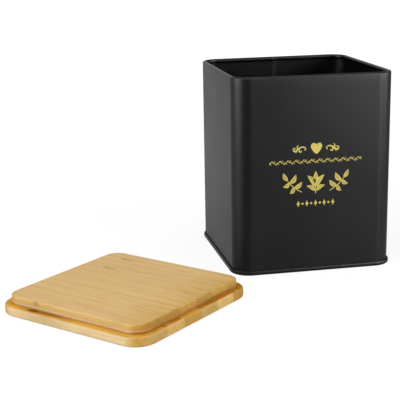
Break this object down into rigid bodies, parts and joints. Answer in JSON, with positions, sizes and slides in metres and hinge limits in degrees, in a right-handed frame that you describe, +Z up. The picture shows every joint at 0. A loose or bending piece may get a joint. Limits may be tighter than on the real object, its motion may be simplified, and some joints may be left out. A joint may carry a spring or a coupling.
{
  "type": "tea canister",
  "caption": "Square steel canister with rounded corners and a rolled rim, and a bamboo push-in lid with a clear seal lying upside down beside it.",
  "frame": {"origin": "middle of the tin's base, on the surface it stands on", "axes": "+Z up; -Y out of the printed front; +X to the right seen from the front"},
  "size_m": [0.2632, 0.2182, 0.1328],
  "materials": {
    "black_coat": "satin black powder coat",
    "cover_bamboo": "lacquered bamboo",
    "plug_bamboo": "lacquered bamboo",
    "clear_silicone": "clear, glossy",
    "gold_print": "flat metallic gold ink"
  },
  "bodies": {
    "tin": {"body_shell": "black_coat", "base_pan": "black_coat"},
    "lid": {"cover_slat_1": "cover_bamboo", "cover_slat_2": "cover_bamboo", "cover_slat_3": "cover_bamboo", "cover_slat_4": "cover_bamboo", "cover_slat_5": "cover_bamboo", "cover_slat_6": "cover_bamboo", "cover_slat_7": "cover_bamboo", "cover_slat_8": "cover_bamboo", "plug_slat_1": "plug_bamboo", "plug_slat_2": "plug_bamboo", "plug_slat_3": "plug_bamboo", "plug_slat_4": "plug_bamboo", "plug_slat_5": "plug_bamboo", "plug_slat_6": "plug_bamboo", "plug_slat_7": "plug_bamboo", "seal": "clear_silicone"}
  },
  "joints": [
    {"name": "lid_lift", "type": "slide", "parent": "tin", "child": "lid", "axis": [0, 0, 1], "range_m": [0, 0.16]}
  ]
}
